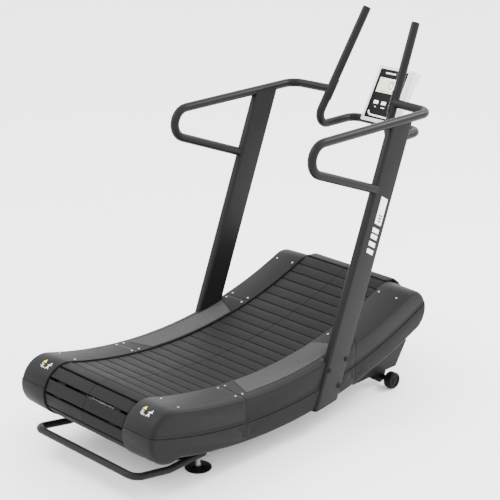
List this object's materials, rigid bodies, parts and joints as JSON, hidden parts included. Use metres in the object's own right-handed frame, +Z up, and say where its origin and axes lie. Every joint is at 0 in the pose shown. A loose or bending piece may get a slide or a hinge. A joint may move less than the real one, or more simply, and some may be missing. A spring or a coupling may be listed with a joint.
{
  "type": "curved manual treadmill",
  "caption": "Motorless treadmill with a curved slat belt on drums, covered side frames, raked uprights with looped handrails, grab handles and a small console.",
  "frame": {"origin": "floor level under the middle of the footprint", "axes": "+X to the user's right, +Y forwards towards the console, +Z up"},
  "size_m": [0.838, 1.9532, 1.6342],
  "materials": {
    "charcoal_paint": "satin",
    "cover_plastic": "satin",
    "slat_rubber": "matte",
    "grip_strip": "matte",
    "black_plastic": "satin",
    "bright_steel": "satin",
    "silver_plastic": "satin",
    "lcd_window": "gloss",
    "white_key": "satin"
  },
  "bodies": {
    "frame": {"rear_bearing_block_right": "black_plastic", "rear_bearing_block_left": "black_plastic", "front_bearing_block_right": "black_plastic", "front_bearing_block_left": "black_plastic", "side_frame_right": "charcoal_paint", "side_frame_left": "charcoal_paint", "rear_cross_beam": "charcoal_paint", "mid_cross_beam": "charcoal_paint", "front_cross_beam": "charcoal_paint", "roller_rail_right": "charcoal_paint", "roller_rail_left": "charcoal_paint", "upper_cover_rear_right": "cover_plastic", "upper_cover_rear_left": "cover_plastic", "upper_cover_mid_right": "cover_plastic", "upper_cover_mid_left": "cover_plastic", "upper_cover_front_right": "cover_plastic", "upper_cover_front_left": "cover_plastic", "lower_cover_right": "cover_plastic", "lower_cover_left": "cover_plastic", "tread_strip_right": "grip_strip", "tread_strip_left": "grip_strip", "upright_right": "charcoal_paint", "upright_left": "charcoal_paint", "handrail_right": "charcoal_paint", "handrail_left": "charcoal_paint", "grab_handle_frame": "charcoal_paint", "console_housing": "silver_plastic", "console_face": "black_plastic", "console_display": "lcd_window", "console_bracket": "charcoal_paint", "rear_lift_handle": "charcoal_paint", "wheel_bracket_right": "black_plastic", "wheel_bracket_left": "black_plastic", "wheel_axle_right": "bright_steel", "wheel_axle_left": "bright_steel"},
    "belt_top": {"belt_top_run": "slat_rubber"},
    "belt_return": {"belt_return_run": "slat_rubber"},
    "front_drum": {"front_shaft": "bright_steel", "front_pulley_right": "black_plastic", "front_pulley_left": "black_plastic", "belt_front_wrap": "slat_rubber"},
    "rear_drum": {"rear_shaft": "bright_steel", "rear_pulley_right": "black_plastic", "rear_pulley_left": "black_plastic", "belt_rear_wrap": "slat_rubber"},
    "roller_1_right": {"support_roller_1_right": "black_plastic"},
    "roller_1_left": {"support_roller_1_left": "black_plastic"},
    "roller_2_right": {"support_roller_2_right": "black_plastic"},
    "roller_2_left": {"support_roller_2_left": "black_plastic"},
    "wheel_right": {"transport_wheel_right": "black_plastic"},
    "foot_right": {"foot_stud_right": "bright_steel", "foot_pad_right": "black_plastic"},
    "wheel_left": {"transport_wheel_left": "black_plastic"},
    "foot_left": {"foot_stud_left": "bright_steel", "foot_pad_left": "black_plastic"},
    "button_left": {"console_button_left": "white_key"},
    "button_middle": {"console_button_middle": "white_key"},
    "button_right": {"console_button_right": "white_key"}
  },
  "joints": [
    {"name": "belt_drive", "type": "hinge", "parent": "frame", "child": "front_drum", "pos_m": [0, 0.61937, 0.37031], "axis": [1, 0, 0], "range_deg": [-18, 18]},
    {"name": "rear_drum_spin", "type": "hinge", "parent": "frame", "child": "rear_drum", "pos_m": [0, -0.85029, 0.27617], "axis": [1, 0, 0], "range_deg": [-18, 18]},
    {"name": "top_run_travel", "type": "hinge", "parent": "frame", "child": "belt_top", "pos_m": [0, -0.24739, 2.3829], "axis": [1, 0, 0], "range_deg": [-0.82, 0.82]},
    {"name": "return_run_travel", "type": "hinge", "parent": "frame", "child": "belt_return", "pos_m": [0, -0.24739, 2.3829], "axis": [1, 0, 0], "range_deg": [-0.75, 0.75]},
    {"name": "roller_1_right_spin", "type": "hinge", "parent": "frame", "child": "roller_1_right", "pos_m": [0, -0.50446, 0.28922], "axis": [1, 0, 0], "range_deg": [-101.11, 101.11]},
    {"name": "roller_1_left_spin", "type": "hinge", "parent": "frame", "child": "roller_1_left", "pos_m": [0, -0.50446, 0.28922], "axis": [1, 0, 0], "range_deg": [-101.11, 101.11]},
    {"name": "roller_2_right_spin", "type": "hinge", "parent": "frame", "child": "roller_2_right", "pos_m": [0, 0.08259, 0.29947], "axis": [1, 0, 0], "range_deg": [-101.11, 101.11]},
    {"name": "roller_2_left_spin", "type": "hinge", "parent": "frame", "child": "roller_2_left", "pos_m": [0, 0.08259, 0.29947], "axis": [1, 0, 0], "range_deg": [-101.11, 101.11]},
    {"name": "wheel_right_spin", "type": "hinge", "parent": "frame", "child": "wheel_right", "pos_m": [0, 0.55111, 0.038], "axis": [1, 0, 0], "continuous": true},
    {"name": "wheel_left_spin", "type": "hinge", "parent": "frame", "child": "wheel_left", "pos_m": [0, 0.55111, 0.038], "axis": [1, 0, 0], "continuous": true},
    {"name": "foot_right_screw", "type": "slide", "parent": "frame", "child": "foot_right", "axis": [0, 0, 1], "range_m": [-0.012, 0]},
    {"name": "foot_left_screw", "type": "slide", "parent": "frame", "child": "foot_left", "axis": [0, 0, 1], "range_m": [-0.012, 0]},
    {"name": "button_left_press", "type": "slide", "parent": "frame", "child": "button_left", "axis": [0, 0.8673, -0.4978], "range_m": [0, 0.0012], "stiffness_N_per_m": 900, "springref_m": -0.0003},
    {"name": "button_middle_press", "type": "slide", "parent": "frame", "child": "button_middle", "axis": [0, 0.8673, -0.4978], "range_m": [0, 0.0012], "stiffness_N_per_m": 900, "springref_m": -0.0003},
    {"name": "button_right_press", "type": "slide", "parent": "frame", "child": "button_right", "axis": [0, 0.8673, -0.4978], "range_m": [0, 0.0012], "stiffness_N_per_m": 900, "springref_m": -0.0003}
  ],
  "couplings": [
    {"joint": "rear_drum_spin", "follows": "belt_drive", "ratio": 1},
    {"joint": "top_run_travel", "follows": "belt_drive", "ratio": -0.045567},
    {"joint": "return_run_travel", "follows": "belt_drive", "ratio": 0.041761},
    {"joint": "roller_1_right_spin", "follows": "belt_drive", "ratio": 5.6176},
    {"joint": "roller_1_left_spin", "follows": "belt_drive", "ratio": 5.6176},
    {"joint": "roller_2_right_spin", "follows": "belt_drive", "ratio": 5.6176},
    {"joint": "roller_2_left_spin", "follows": "belt_drive", "ratio": 5.6176}
  ]
}
